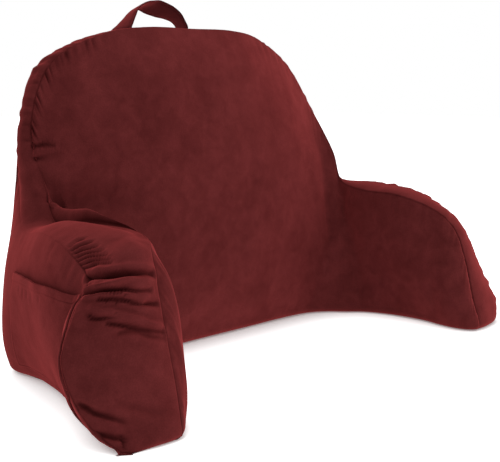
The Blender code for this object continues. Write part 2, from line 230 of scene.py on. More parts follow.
def sections(place):
    """Section values in metres.  A place counts sections from the middle, negative to the left."""
    across = [COLUMNS.index(name) for name in ("inner_x", "front_x", "rear_x", "outer_x")]
    left, right = np.array(BACK + LEFT_ARM, float), np.array(BACK + RIGHT_ARM, float)
    left[:, across] *= -1
    values = through_rows(np.vstack([left[:0:-1], right]), np.asarray(place, float) + FOOT) * MM
    seam = COLUMNS.index("front_x")
    pull = np.exp(-((np.asarray(place, float) + TUCK_AT) / TUCK_REACH) ** 2)
    values[:, seam:seam + 3] += pull[:, None] * np.array(TUCK) * MM
    return values


print("height at the middle of the back:", round(sections([0.0])[0][COLUMNS.index("front_z")], 3))

# %% [markdown]
# ## A grid over the whole cover
#
# The cover is drawn as a grid: one ring of points round each section, up the front panel, over
# the strip, down the outer panel and back along the base.  Rings and rows crowd together where
# the cloth has something to show, at the seams and over the folds of the left arm, and spread
# out where it is smooth.  A grid keeps the seams on its own lines, so they stay crisp.

# %% Place the rings and the rows
def crowded(count, pull):
    """Places from 0 to 1 that crowd towards both ends."""
    t = np.linspace(0, 1, count)
    return t - pull * np.sin(2 * math.pi * t) / (2 * math.pi)


STRETCHES = (                               # from section, to section, number of rings
    (-13, -11.4, 26), (-11.4, -9.2, 78), (-9.2, -8.1, 43), (-8.1, -6, 30), (-6, -4.8, 20),
    (-4.8, -1.8, 78), (-1.8, 6, 94), (6, 13, 94),
)
ring_places = np.concatenate([np.linspace(a, b, n, endpoint=False) for a, b, n in STRETCHES] + [[13]])
close, closer = np.array((.0016, .0034, .0055)), np.array((.006, .013, .030))    # extra, beside a seam
strip_places = np.sort(np.concatenate([crowded(32, 0.35), closer, 1 - closer]))
PANELS = {                                  # start edge, end edge, swelling, places of the rows
    "in": ("inner", "front", "swell_in", np.sort(np.append(crowded(72, 0.50), 1 - close))),
    "top": ("front", "rear", "swell_top", strip_places),
    "out": ("rear", "outer", "swell_out", np.sort(np.append(crowded(58, 0.50), close))),
    "base": ("outer", "inner", None, strip_places),
}
print(len(ring_places), "rings of", sum(len(v) - 1 for *_, v in PANELS.values()), "points")

# %% Say how a panel swells, rolls and eases
ROUND_LOW, ROUND_HIGH = 3.2, 2.6            # how squarely a panel swells from its edges
ROLL = (                                    # (section, height of the left arm's roll in mm) ...
    (-9.4, 0), (-8.4, 2), (-7.6, 7), (-7.0, 12), (-6.4, 16), (-6.0, 14), (-5.6, 5), (-5.2, 0),
)
VALLEYS = ((-7.0, -2.6, 260), (2.6, 7.0, 30))    # from section, to section, rounds of evening out
SKEW, SKEW_AT = 0.85, -9.3                  # sections between the ends of the strip's chords, and where


def edge_line(values, edge):
    """One long edge of the cover, a point for each section."""
    line = np.zeros((len(values), 3))
    for axis, name in enumerate("xyz"):
        if f"{edge}_{name}" in COLUMNS:
            line[:, axis] = values[:, COLUMNS.index(f"{edge}_{name}")]
    line[:, 2] = np.maximum(line[:, 2], 0)
    return line


def crown(v, panel):
    """Height of a stuffed panel above its chord, from 0 at its edges to 1 in the middle."""
    low = {"in": v < 0.5, "out": v > 0.5}.get(panel, np.zeros(len(v), bool))
    return 1 - np.abs(1 - 2 * v) ** np.where(low, ROUND_LOW, ROUND_HIGH)


def unit(vectors):
    return vectors / np.maximum(np.linalg.norm(vectors, axis=-1, keepdims=True), 1e-9)


def rolled(points, normal, below):
    """The front panel stands up in a soft roll behind the seam at the root of the left arm."""
    rise = np.interp(ring_places, *zip(*ROLL))[:, None] * MM
    away = below / (14 * MM)
    points = points + normal * (rise * (1 - np.exp(-1.7 * away)) * np.exp(-away / 4))[..., None]
    points[..., 2] += 1.85 * rise * away * np.exp(1 - away)
    return points


def eased(points):
    """The valleys beside the back are evened out along the panel, less and less towards the seam."""
    v = PANELS["in"][3]
    below = np.clip((1 - v) / 0.16, 0, 1)
    give = (below ** 2 * (3 - 2 * below) * np.clip((v - 0.35) / 0.4, 0.06, 1))[None, :, None]
    for start, end, rounds in VALLEYS:
        window = np.clip(np.minimum(ring_places - start, end - ring_places) / 0.8, 0, 1)[1:-1, None, None]
        for _ in range(rounds):
            points[1:-1] += 0.5 * window * give * ((points[:-2] + points[2:]) / 2 - points[1:-1])
    return points


def skewed(v):
    """The two ends of the strip's chords.  Over the left arm's bend the rear seam turns down before
    the front one, so there a chord joins a point of the rear seam to one further down the front."""
    behind = np.linspace(-FOOT, FOOT, 2000)
    ahead = behind - SKEW * np.exp(-(behind - SKEW_AT) ** 2)
    at = v * ring_places[:, None] + (1 - v) * np.interp(ring_places, ahead, behind)[:, None]
    a, b = (edge_line(sections(places.ravel()), edge).reshape(*at.shape, 3)
            for places, edge in ((np.interp(at, behind, ahead), "front"), (at, "rear")))
    return a, b


print("the strip is skewed by", SKEW, "sections at section", SKEW_AT)

# %% Work out where every point of the grid goes
values = sections(ring_places)
first, blocks = {}, []
for panel, (start, end, swelling, v) in PANELS.items():
    a, b = edge_line(values, start), edge_line(values, end)
    starts, stops = skewed(v) if panel == "top" else (a[:, None], b[:, None])
    points = starts * (1 - v)[None, :, None] + stops * v[None, :, None]
    if swelling:
        normal = unit(np.cross(np.gradient(points, axis=0), stops - starts))
        height = np.maximum(values[:, COLUMNS.index(swelling)], 0)
        points = points + normal * (height[:, None] * crown(v, panel)[None])[..., None]
    if panel == "in":
        points = eased(rolled(points, normal, np.linalg.norm(b - a, axis=1)[:, None] * (1 - v)[None]))
    first[panel] = sum(block.shape[1] for block in blocks)
    blocks.append(points[:, :-1])
cover = np.concatenate(blocks, axis=1)
cover[..., 2] = np.maximum(cover[..., 2], 0)
rows_round = cover.shape[1]
strip_rows = np.arange(1, len(strip_places) - 1)
for ring in (cover[0], cover[-1]):          # a foot closes on one line, where strip meets base
    ring[rows_round - strip_rows] = ring[first["top"] + strip_rows]
cover -= MIDDLE
print("cover grid:", cover.shape[:2], "points")

# %% Helpers that read the grid
def outward(grid):
    """Unit normals of a grid, from each point's neighbours both ways."""
    ring = np.roll(grid, -1, axis=1) - np.roll(grid, 1, axis=1)
    return unit(np.cross(np.gradient(grid, axis=0), ring))


def grid_place(panel, place, v):
    """Ring and row numbers, with fractions, of a place on a panel."""
    i = np.interp(place, ring_places, np.arange(len(ring_places)))
    j = first[panel] + np.interp(v, PANELS[panel][3], np.arange(len(PANELS[panel][3])))
    return i, j


def read_grid(grid, i, j):
    """Values of a grid between its points."""
    i0 = np.clip(np.floor(i).astype(int), 0, grid.shape[0] - 2)
    j0 = np.floor(j).astype(int)
    s, t = (i - i0)[..., None], (j - j0)[..., None]
    j0, j1 = j0 % rows_round, (j0 + 1) % rows_round
    return ((1 - s) * (1 - t) * grid[i0, j0] + s * (1 - t) * grid[i0 + 1, j0]
            + (1 - s) * t * grid[i0, j1] + s * t * grid[i0 + 1, j1])


seam_rows = {"front": first["top"], "rear": first["out"]}
round_length = np.concatenate([np.zeros((len(cover), 1)),
                               np.cumsum(np.linalg.norm(np.diff(cover, axis=1), axis=2), axis=1)], axis=1)
from_seam = {name: round_length - round_length[:, row:row + 1] for name, row in seam_rows.items()}
along_seam = {name: np.concatenate([[0], np.cumsum(np.linalg.norm(np.diff(cover[:, row], axis=0), axis=1))])
              for name, row in seam_rows.items()}
print("seams:", {name: f"{line[-1]:.2f} m long" for name, line in along_seam.items()})

# %% [markdown]
# ## Stuffing the cover
#
# Formulas give a smooth swelling, but cloth that is pushed out from inside hangs off its seams
# in its own way.  So a copy of the CAD cushion is made slightly slack, remeshed into even faces,
# and blown up as cloth with its seams held still.  How far each point then moved is capped, and
# the grid above takes up that movement.  The seams are sharper than the remesh, so they, the
# puckers and the folds come afterwards.

# %% Copy the CAD cushion and remesh it evenly
SLACK, CAP = 3 * MM, 5 * MM                 # how far the copy is drawn in, and may move at most
GROWTH, PRESSURE = -0.006, 4.0              # the cloth's own shrinking, and the stuffing's push
LAST_STEP = 20


def merged_copy(cad_node, name):
    """A free copy of a CAD node's mesh, its loose triangles merged."""
    bpy.ops.object.select_all(action="DESELECT")
    made = bpy.data.objects.new(name, cad_node.data.copy())
    bpy.context.scene.collection.objects.link(made)
    made.matrix_world = cad_node.matrix_world
    made.select_set(True)
    bpy.context.view_layer.objects.active = made
    bpy.ops.object.mode_set(mode="EDIT")
    bpy.ops.mesh.select_all(action="SELECT")
    bpy.ops.mesh.remove_doubles(threshold=0.00002)
    bpy.ops.object.mode_set(mode="OBJECT")
    return made


def points_of(mesh):
    points = np.zeros(len(mesh.vertices) * 3)
    mesh.vertices.foreach_get("co", points)
    return points.reshape(-1, 3)


stuffing = None
stuffing = merged_copy(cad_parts["pillow_body"], "stuffing_form")
evener = stuffing.modifiers.new("even faces", "REMESH")
evener.mode, evener.voxel_size, evener.use_smooth_shade = "VOXEL", 0.0065, True
bpy.ops.object.modifier_apply(modifier=evener.name)
print("remeshed:", len(stuffing.data.vertices), "points")

# %% Blow it up with its seams held
movement = np.zeros(cover.shape)
if stuffing:
    rest = points_of(stuffing.data)
    seam_points = np.concatenate([cover[::2, row] for row in seam_rows.values()])
    gap = np.array([np.sqrt(((seam_points - p) ** 2).sum(1).min()) for p in rest])
    held = np.clip(1 - (gap - 0.004) / 0.004, 0, 1)
    held[rest[:, 2] < 0.004] = 1
    normals = np.zeros(len(rest) * 3)
    stuffing.data.vertices.foreach_get("normal", normals)
    slack = SLACK * (1 - held) * np.clip(gap / 0.03, 0, 1)
    slackened = rest - normals.reshape(-1, 3) * slack[:, None]
    stuffing.data.vertices.foreach_set("co", slackened.ravel())
    pins = stuffing.vertex_groups.new(name="held")
    for i in np.flatnonzero(held > 0):
        pins.add([int(i)], float(held[i]), "REPLACE")
    cloth = stuffing.modifiers.new("cover cloth", "CLOTH")
    cloth.settings.vertex_group_mass = "held"
    cloth.settings.quality = 6
    cloth.settings.mass = 0.3
    cloth.settings.tension_stiffness = cloth.settings.compression_stiffness = 15
    cloth.settings.bending_stiffness = 0.6
    cloth.settings.shrink_min = GROWTH
    cloth.settings.use_pressure = True
    cloth.settings.uniform_pressure_force = PRESSURE
    cloth.settings.effector_weights.gravity = 0
    cloth.collision_settings.use_collision = False
    cloth.point_cache.frame_start, cloth.point_cache.frame_end = 1, LAST_STEP
    for step in range(1, LAST_STEP + 1):
        bpy.context.scene.frame_set(step)
    blown = points_of(stuffing.evaluated_get(bpy.context.evaluated_depsgraph_get()).data)
    moved = blown - rest
    far = np.linalg.norm(moved, axis=1, keepdims=True)
    moved *= np.minimum(1, CAP / np.maximum(far, 1e-9))
    print("cloth moved", round(float(far.mean()) / MM, 1), "mm on average, at most",
          round(float(far.max()) / MM, 1))

# %% Hand the movement to the grid
if stuffing:
    faces = [tuple(p.vertices) for p in stuffing.data.polygons]
    triangles = [t for f in faces for t in ((f[0], f[1], f[2]), (f[0], f[2], f[3]))[:len(f) - 2]]
    tree = BVHTree.FromPolygons([Vector(p) for p in rest], triangles)
    flat = cover.reshape(-1, 3)
    carried = movement.reshape(-1, 3)
    for k, point in enumerate(flat):
        spot, _, face, _ = tree.find_nearest(Vector(point))
        corners = triangles[face]
        carried[k] = barycentric_transform(spot, *(Vector(rest[c]) for c in corners),
                                           *(Vector(moved[c]) for c in corners))
    bpy.context.scene.frame_set(1)
    bpy.data.objects.remove(stuffing, do_unlink=True)
    print("grid moved", round(float(np.linalg.norm(carried, axis=1).mean()) / MM, 2), "mm on average")

# %% [markdown]
# ## Sewing and puckers
#
# A seam pulls the cloth in to a sharp line, and the thread gathers it into small puckers that
# fade a finger's width away.  A groove could be cut into the mesh and each pucker sculpted.
# Here seams, puckers and folds are one field of heights over the grid, added along the
# surface's normal at the end, because then each stays a line in a table.

# %% Sink the seams
def soften(field, times):
    """A grid of values, evened out between neighbours both ways."""
    for _ in range(times):
        field = (np.roll(field, 1, axis=1) + np.roll(field, -1, axis=1) + 2 * field) / 4
        field[1:-1] = (field[:-2] + field[2:] + 2 * field[1:-1]) / 4
    return field


off_feet = np.clip((FOOT - np.abs(ring_places)) / 0.5, 0, 1)
off_valleys = 1 - np.exp(-((np.abs(ring_places) - TUCK_AT) / 1.3) ** 2)
cover += soften(movement, 12) * (off_feet * off_valleys)[:, None, None]
cover[..., 2] = np.maximum(cover[..., 2], 0)
SEAM_DEPTH = {                              # (section, depth of the seam's groove in mm) ...
    "front": ((-13, .6), (-11.5, .3), (-9.6, .35), (-9.0, 1.4), (-6.4, 1.6), (-5.7, .4), (-4.5, .3),
              (-4.1, .8), (-3.3, .9), (-2.7, .4), (-2, .15), (2.4, .15), (5.4, .3), (6.0, 1.6),
              (9, 2.0), (13, 1.8)),
    "rear": ((-13, 1.8), (-9.6, 1.8), (-8.6, 1.2), (-7.9, .3), (-2, .2), (0, .4), (6, .8), (8, 1.0),
             (13, 1.2)),
}
SEAM_SHADE = {                              # (section, width of the painted shade line in it in mm) ...
    "front": ((-13, 1.2), (-9.8, 1.2), (-9.0, 3.5), (-6.6, 4.0), (-5.8, 4), (-4.8, 2), (-4.2, 1.4),
              (6, 1.2), (6.6, 2.0), (9.6, 2.0), (10.4, 1.3), (13, 1.3)),
    "rear": ((-13, 1.2), (13, 1.2)),
}
relief = np.zeros(cover.shape[:2])
stitched = np.zeros(cover.shape[:2])        # painted shade that a seam or a fold holds, from 0 to 1
for name, distance in from_seam.items():
    depth, away = np.interp(ring_places, *zip(*SEAM_DEPTH[name]))[:, None], np.abs(distance)
    relief -= depth * MM * (np.exp(-away / (1.1 * MM)) + 0.35 * np.exp(-(away / (7 * MM)) ** 2))
    spread = np.interp(ring_places, *zip(*SEAM_SHADE[name]))[:, None]
    stitched = np.maximum(stitched, np.minimum(depth / 1.4, 1) * np.exp(-(away / (spread * MM)) ** 2))
print("deepest seam:", round(float(relief.min()) / MM, 2), "mm")

# %% Pucker the cloth beside them
PUCKERS = (                                 # seam, from section, to section, height, spacing, reach in mm
    ("front", -13, 13, 0.18, 15, 8), ("rear", -13, 13, 0.20, 14, 9),
    ("front", -4.8, -1.9, 1.7, 10, 4.5), ("rear", -5.6, -1.0, 0.45, 19, 10),
    ("front", 1.4, 5.0, 0.7, 15, 9), ("rear", -3.4, -1.2, 0.9, 17, 10),
    ("rear", 1.6, 4.6, 0.80, 17, 10), ("rear", 6.8, 12.6, 1.35, 19, 10),
    ("front", 7.0, 12.6, 0.55, 13, 8),
)
STRIP_SHARE = 0.4                           # beside the front seam the strip puckers less than the face


def wander(along, spacing, seed):
    """A wavering line that is the same every time: three sines with shuffled starts."""
    dice = np.random.default_rng(seed)
    return sum(np.sin(2 * math.pi * along / (spacing * MM * stretch) + dice.uniform(0, 2 * math.pi))
               for stretch in (0.78, 1.0, 1.37)) / 1.7


for number, (name, start, end, height, spacing, reach) in enumerate(PUCKERS):
    window = np.clip((ring_places - start) / 0.5, 0, 1) * np.clip((end - ring_places) / 0.5, 0, 1)
    for way in (-1, 1):
        away = np.maximum(way * from_seam[name], 0) / (reach * MM)
        wave = wander(along_seam[name], spacing, 10 * number + way + 1)
        share = STRIP_SHARE if (name, way) == ("front", 1) else 1
        pucker = share * height * MM * (window * wave)[:, None] * away * np.exp(1 - away)
        relief += pucker
        if height > 1:                          # the deepest ones hold a thin painted shade
            stitched = np.maximum(stitched, np.clip(-pucker / (2.4 * MM), 0, 0.6))
print(len(PUCKERS), "stretches of puckers")

# %% [markdown]
# ## Creases
#
# Where the left arm bends, its strip has more cloth than it needs.  It lies in one deep fold over
# several shallower ones, with small gathers behind them.  A simulation finds folds of its own,
# never these, so each is drawn through places on the cover that were read off the photograph.

# %% List the creases and gathers
CREASES = (                                 # side, panel, height, width in mm, (section, place across) ...
    # the left arm's strip, from its deepest fold down to the foot
    (-1, "top", -10.0, 3.4, (9.02, .985), (9.16, .92), (9.45, .80), (9.66, .67), (9.90, .48), (10.11, .32),
     (10.25, .20), (10.38, .06)),
    (-1, "top", 3.6, 2.8, (9.55, .98), (9.59, .91), (9.86, .77), (10.08, .60), (10.12, .48), (10.18, .32)),
    (-1, "top", -6.0, 2.0, (9.62, .985), (9.82, .88), (10.00, .76), (10.26, .59), (10.40, .47), (10.50, .34),
     (10.60, .12)),
    (-1, "top", 2.4, 2.0, (9.82, .94), (10.05, .81), (10.28, .64), (10.46, .47), (10.66, .15)),
    (-1, "top", -4.5, 1.9, (10.22, .76), (10.34, .68), (10.45, .57), (10.53, .46), (10.64, .33), (10.74, .21),
     (10.83, .05)),
    (-1, "top", -3.0, 3.0, (10.74, .18), (10.80, .11), (10.85, .04)),
    (-1, "top", 3.0, 2.6, (10.25, .84), (10.46, .73), (10.60, .56), (10.84, .34), (11.04, .18), (11.15, .05)),
    (-1, "top", -3.4, 2.0, (10.39, .84), (10.51, .78), (10.60, .66), (10.69, .54)),
    (-1, "top", -5.5, 2.4, (10.72, .60), (10.82, .51), (10.95, .39), (11.10, .24), (11.25, .03)),
    (-1, "top", -3.4, 2.8, (10.97, .49), (11.05, .35), (11.20, .21), (11.32, .04)),
    (-1, "top", -5.0, 2.8, (11.72, .965), (11.79, .94), (11.94, .90), (12.06, .84), (12.30, .72)),
    (-1, "top", -2.6, 4.0, (11.94, .67), (12.15, .50), (12.36, .29)),
    (-1, "top", -4.0, 3.0, (12.30, .99), (12.50, .92), (12.69, .83)),
    (-1, "top", -3.2, 1.6, (12.55, .82), (12.77, .89), (12.93, .96)),
    # the left edge of the back
    (-1, "in", -3.4, 2.4, (4.36, .99), (4.10, .93), (3.90, .89), (3.63, .83)),
    (-1, "in", 2.6, 2.6, (4.40, .96), (4.15, .92), (3.89, .86), (3.41, .78)),
    (-1, "in", -2.4, 2.6, (4.60, .99), (4.29, .92), (4.06, .87)),
    # the hollows over and behind the left arm's root
    (-1, "top", -5.0, 10.0, (6.20, .12), (7.20, .12), (8.40, .12), (9.40, .12)),
    (-1, "in", -13.0, 15.0, (4.30, .70), (3.98, .67), (3.26, .57), (2.73, .53), (2.38, .50), (2.00, .46)),
    # the right arm and the valley beside it
    (1, "top", -2.0, 4.0, (9.40, .60), (9.55, .30), (9.70, .04)),
    (1, "top", -1.8, 4.0, (10.20, .70), (10.35, .40), (10.50, .08)),
    (1, "in", -1.2, 5.0, (6.24, .95), (5.70, .70), (5.13, .40), (4.60, .05)),
)
GATHERS = (                                 # left strip: start, middle and end of each small gather
    ((8.09, .95), (8.09, .85), (8.15, .76)), ((8.20, .96), (8.25, .86), (8.35, .72)),
    ((8.30, .96), (8.39, .86), (8.54, .72)), ((8.40, .97), (8.50, .86), (8.76, .70)),
    ((8.48, .98), (8.62, .86), (9.01, .67)), ((8.59, .98), (8.77, .86), (9.19, .66)),
    ((8.69, .98), (8.95, .84), (9.35, .65)),
)
folds = list(CREASES) + [(-1, "top", -3.0, 1.7, *spots) for spots in GATHERS]
print(len(CREASES), "creases and", len(GATHERS), "gathers")

# %% Press them in
LIPPED, SHADED = 6, 4                       # folds narrower than this, in mm, have soft lips, or hold a painted shade


def pressed(side, panel, height, width, *spots):
    """Height of one fold over the grid: deepest along its middle, shallower towards its ends."""
    u, v = zip(*spots)
    t = np.linspace(0, len(spots) - 1, 6 * len(spots))
    curve = through_rows(spots, t)
    line = read_grid(cover, *grid_place(panel, side * curve[:, 0], curve[:, 1]))
    near = np.abs(ring_places - side * (min(u) + max(u)) / 2) < (max(u) - min(u)) / 2 + 1.2
    a, span = line[:-1], np.diff(line, axis=0)
    gap = cover[near][:, :, None] - a
    t = np.clip((gap * span).sum(3) / np.maximum((span ** 2).sum(1), 1e-12), 0, 1)
    away = np.linalg.norm(gap - t[..., None] * span, axis=3)
    nearest = away.argmin(2)
    along = (nearest + np.take_along_axis(t, nearest[..., None], 2)[..., 0]) / len(a)
    away = away.min(2) / (width * MM)
    profile = np.exp(-away ** 2) - (0.3 if width < LIPPED else 0) * np.exp(-((away - 2) / 1.1) ** 2)
    made = np.zeros(cover.shape[:2])
    made[near] = height * MM * profile * np.sin(math.pi * (0.20 + 0.70 * along)) ** 0.8
    return made


for fold in folds:
    crease = pressed(*fold)
    relief += crease
    # narrow folds hold painted shade along their troughs
    if fold[3] < SHADED:
        stitched = np.maximum(stitched, np.clip(-crease / (4 * MM), 0, 0.75))
print("deepest fold:", round(float(relief.min()) / MM, 1), "mm")

# %% [markdown]
# Loose fibre packs unevenly, which shows as broad low lumps away from the seams, where the cloth
# isn't held tight.  Two sizes of noise give them.

# %% Add the lumps of the stuffing and raise the surface
lumps = np.array([[noise.noise(Vector(p) / 0.075), noise.noise(Vector(p) / 0.032)]
                  for p in cover.reshape(-1, 3)]).reshape(*cover.shape[:2], 2)
quiet = np.minimum(1, np.minimum(*(np.abs(d) for d in from_seam.values())) / (18 * MM))
relief += (1.6 * MM * lumps[..., 0] + 0.7 * MM * lumps[..., 1]) * quiet
fade = np.clip((FOOT - np.abs(ring_places)) / 0.35, 0, 1)[:, None] * np.clip(cover[..., 2] / (7 * MM), 0, 1)
fade[:, first["base"]:] = 0
relief *= fade
cover += outward(cover) * relief[..., None]
cover[..., 2] = np.maximum(cover[..., 2], 0)

# %% [markdown]
# The pillow doesn't meet the floor in a sharp edge: its stuffing rounds the cover under.  The
# points near the floor are drawn in along a quarter circle, and the base is laid flat between
# the edges again.

# %% Round the cover under at the floor
UNDER = 9 * MM
sideways = outward(cover)
sideways[[0, 1, -2, -1]] = sideways[[2, 2, -3, -3]]
sideways = unit(soften(sideways, 3) * (1, 1, 0))
for ring in (0, -1):                        # the front and outer panels end in a point there
    sideways[ring, :first["top"]] = sideways[ring, first["top"]]
    sideways[ring, first["out"]:first["base"]] = sideways[ring, first["out"]]
low = np.clip(1 - cover[..., 2] / UNDER, 0, 1)
cover -= sideways * (UNDER * (1 - np.sqrt(1 - low ** 2)))[..., None]
base_share = PANELS["base"][3][:-1, None]
for ring in cover[1:-1]:
    ring[first["base"]:] = ring[first["base"]] * (1 - base_share) + ring[0] * base_share
for ring in (cover[0], cover[-1]):
    ring[rows_round - strip_rows] = ring[first["top"] + strip_rows]
cover_normal = outward(cover)
print("cover spans", (cover.reshape(-1, 3).max(0) - cover.reshape(-1, 3).min(0)).round(4))

# %% Make the cover a mesh
def mesh_piece(name, points, faces, **marks):
    """A smooth piece from points and faces.  marks are values kept on its points for materials."""
    mesh = bpy.data.meshes.new(name)
    mesh.from_pydata(np.asarray(points).reshape(-1, 3).tolist(), [], np.asarray(faces).tolist())
    for mark, field in marks.items():
        kept = mesh.attributes.new(mark, "FLOAT", "POINT")
        kept.data.foreach_set("value", np.asarray(field, np.float32).ravel())
    made = bpy.data.objects.new(name, mesh)
    bpy.context.scene.collection.objects.link(made)
    bpy.ops.object.select_all(action="DESELECT")
    made.select_set(True)
    bpy.context.view_layer.objects.active = made
    bpy.ops.object.mode_set(mode="EDIT")
    bpy.ops.mesh.select_all(action="SELECT")
    bpy.ops.mesh.remove_doubles(threshold=0.00002)
    bpy.ops.mesh.select_all(action="SELECT")
    bpy.ops.mesh.normals_make_consistent(inside=False)
    bpy.ops.object.mode_set(mode="OBJECT")
    bpy.ops.object.shade_smooth()
    return made


def grid_faces(count, width, closed=False):
    """Quads between the points of a grid, row after row."""
    i, j = np.meshgrid(np.arange(count - 1), np.arange(width if closed else width - 1), indexing="ij")
    k = (j + 1) % width
    here, ahead = i * width, (i + 1) * width
    return np.stack([here + j, ahead + j, ahead + k, here + k], -1).reshape(-1, 4)


# marks for the cloth: painted shade in the seams and folds, and the relief, whose ridges show a little
# lighter as worn nap and whose troughs darker as painted shade
cushion = mesh_piece("stuffed_cover", cover, grid_faces(*cover.shape[:2], closed=True),
                     stitched=stitched * fade, rubbed=relief / (2 * MM))
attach(cushion, "root")
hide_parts("pillow_body")
print("cushion:", len(cushion.data.polygons), "faces")

# %% [markdown]
# ## The strap handle
#
# The handle is one flat strap.  Its ends lie flat on the back, sewn down just under the rear
# seam, and between them it stands up as an arch and turns on edge: from the front its left half
# shows the outer face and its right half the shaded inner one.  A strap this stiff isn't worth
# simulating, so it is modelled: a table gives its middle line and the way its width lies, and a
# section with rounded edges follows them.

# %% The path of the strap
STRAP_WIDE, STRAP_THICK, STRAP_LIFT = 33 * MM, 2.6 * MM, 0.6 * MM
STRAP_STEPS, STRAP_GAP = 190, 0.4 * MM      # sections along it, and its least distance to the cover
TABS, TAB_ROWS = (-0.84, 0.58), (.118, .100, .082, .064)    # where its ends lie on the outer panel
HANDLE = (                                  # middle in mm, then the way the width lies
    (-72, 142, 391, -0.97, 0.24, 0.00), (-70.5, 147, 400, -0.72, 0.69, -0.03),
    (-67.5, 150.4, 409.8, -0.30, 0.95, -0.07), (-57.5, 154.4, 418.5, -0.01, 0.99, -0.09),
    (-48, 157.4, 427, 0.20, 0.97, -0.06), (-39, 159.4, 435.4, 0.34, 0.94, -0.07),
    (-28.5, 160.4, 442, 0.38, 0.92, -0.13), (-16.5, 160.9, 445, 0.36, 0.89, -0.28),
    (-2.5, 160.9, 443.4, 0.24, 0.81, -0.54), (13, 159.9, 439.6, 0.21, 0.81, -0.54),
    (26, 158.4, 435.6, 0.28, 0.85, -0.45), (36, 156.4, 430, 0.32, 0.88, -0.35),
    (42.6, 154.4, 422.5, 0.28, 0.95, -0.16), (47, 152.9, 413.5, 0.30, 0.95, -0.09),
    (49, 148.5, 401, 0.70, 0.71, -0.03), (49, 142, 391, 0.97, 0.24, 0.00),
)


def on_cover(panel, place, v, lift):
    """Points over a place on the finished cover, raised along its normal."""
    i, j = grid_place(panel, np.asarray(place, float), np.asarray(v, float))
    return read_grid(cover, i, j) + read_grid(cover_normal, i, j) * np.asarray(lift)[..., None]


tabs = []
for tab, way in zip(TABS, (-1, 1)):
    ends = on_cover("out", (tab - 0.1, tab + 0.1), (TAB_ROWS[0],) * 2, (0, 0))
    flat_on = on_cover("out", (tab,) * 4, TAB_ROWS, (STRAP_LIFT + STRAP_THICK / 2,) * 4)
    tabs.append([(*p, *(way * unit(ends[1] - ends[0]))) for p in flat_on])
rise = [(*(np.array(row[:3]) * MM - MIDDLE), *row[3:]) for row in HANDLE]
strap_rows = tabs[0] + rise + tabs[1][::-1]
path = through_rows(strap_rows, np.linspace(0, len(strap_rows) - 1, STRAP_STEPS))
along = unit(np.gradient(path[:, :3], axis=0))
broad = unit(path[:, 3:] - along * (path[:, 3:] * along).sum(1, keepdims=True))
strap_normal = np.cross(along, broad)

# %% Give the strap its section
STITCH_ROW = .76                            # share of the half width where its edge is sewn

half = np.array((0, .12, .35, .55, .68, .72, .76, .80, .84, .90, .95, .985))
shares = np.concatenate([-half[:0:-1], half])
bulge = (1 - np.abs(shares) ** 9) ** 0.5 - 0.30 * np.exp(-((np.abs(shares) - STITCH_ROW) / .035) ** 2)
section = np.concatenate([[(-1, 0)], np.stack([shares, bulge], 1),
                          [(1, 0)], np.stack([shares, -bulge], 1)[::-1]])
steps = np.arange(STRAP_STEPS)
ends = np.minimum(1, np.minimum(steps, steps[::-1]) / 1.5) ** 0.5
strap = (path[:, None, :3] + broad[:, None] * (section[:, 0] * STRAP_WIDE / 2)[None, :, None]
         + strap_normal[:, None] * (section[:, 1][None] * ends[:, None] * STRAP_THICK / 2)[..., None])
cover_tree = BVHTree.FromPolygons(cover.reshape(-1, 3).tolist(),
                                  grid_faces(*cover.shape[:2], closed=True).tolist())


def clear_of_cover(points, gap):
    """Points moved just far enough out to lie at least a gap off the cover."""
    moved = points.reshape(-1, 3).copy()
    for k, point in enumerate(moved):
        spot, facing, _, _ = cover_tree.find_nearest(Vector(point))
        short = gap - (Vector(point) - spot).dot(facing)
        if 0 < short < 0.01:
            moved[k] += np.array(facing) * short
    return moved.reshape(points.shape)


strap = clear_of_cover(strap, STRAP_GAP)
across = np.abs(section[:, 0])[None] * np.ones((STRAP_STEPS, 1))
# marks for the cloth: painted shade along the stitch rows, and the edges a little lighter
handle = mesh_piece("strap_handle", strap, grid_faces(STRAP_STEPS, len(section), closed=True),
                    stitched=0.5 * np.exp(-((across - STITCH_ROW) / .03) ** 2), rubbed=0.5 * across ** 8)
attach(handle, "root")
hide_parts("carry_handle")
print("handle:", len(handle.data.polygons), "faces")

# %% [markdown]
# ## The patch pocket
#
# The pocket is one cloth sheet with a folded hem along its mouth, laid on the outside of the left
# arm and sewn down on three sides; towards the front it runs into the rear seam.  It follows the
# arm closely, so it is laid on the cover's own grid and lifted by its thickness.  Only the mouth
# stands off a little, because the hem is stiffer than the cloth below it.

# %% Lay the pocket on the arm
POCKET_TOP = (                              # (section, place of the upper edge on the outer panel) ...
    (6.5, .235), (6.9, .248), (7.7, .240), (8.5, .172), (9.05, .100), (9.4, .040), (11.5, .040),
)
POCKET_BACK, POCKET_MOUTH, POCKET_FRONT = 6.5, 9.4, 11.5    # sections of its back, mouth's end and front
POCKET_FOOT, POCKET_COLUMNS, POCKET_ROWS = 0.90, 190, 74

across_arm = np.linspace(POCKET_BACK, POCKET_FRONT, POCKET_COLUMNS)
down_arm = crowded(POCKET_ROWS, 0.5)
knots = np.interp(across_arm, [u for u, _ in POCKET_TOP], np.arange(len(POCKET_TOP)))
top = through_rows(POCKET_TOP, knots)[:, 1]
place_u = -across_arm[:, None] * np.ones((1, POCKET_ROWS))
place_v = top[:, None] + (POCKET_FOOT - top)[:, None] * down_arm[None]
bed = on_cover("out", place_u, place_v, np.zeros(place_u.shape))
print("pocket bed:", bed.shape[:2], "points on the arm")

# %% Give it its thickness, hem and stitch lines
POCKET_LIFT, POCKET_THICK = 0.7 * MM, 1.7 * MM
HEM_EXTRA, HEM_DEEP = 0.8 * MM, 12 * MM
GAPE = 3.0 * MM                             # how far the mouth stands off the arm
PULLS = ((30, 12), (41, 17), (52, 13), (66, 15), (88, 12))    # mm from the back edge, mm long below the hem


def lengths(grid, axis):
    """How far along the grid each point is from the grid's first row or column."""
    step = np.linalg.norm(np.diff(grid, axis=axis), axis=2)
    return np.insert(np.cumsum(step, axis=axis), 0, 0, axis=axis)


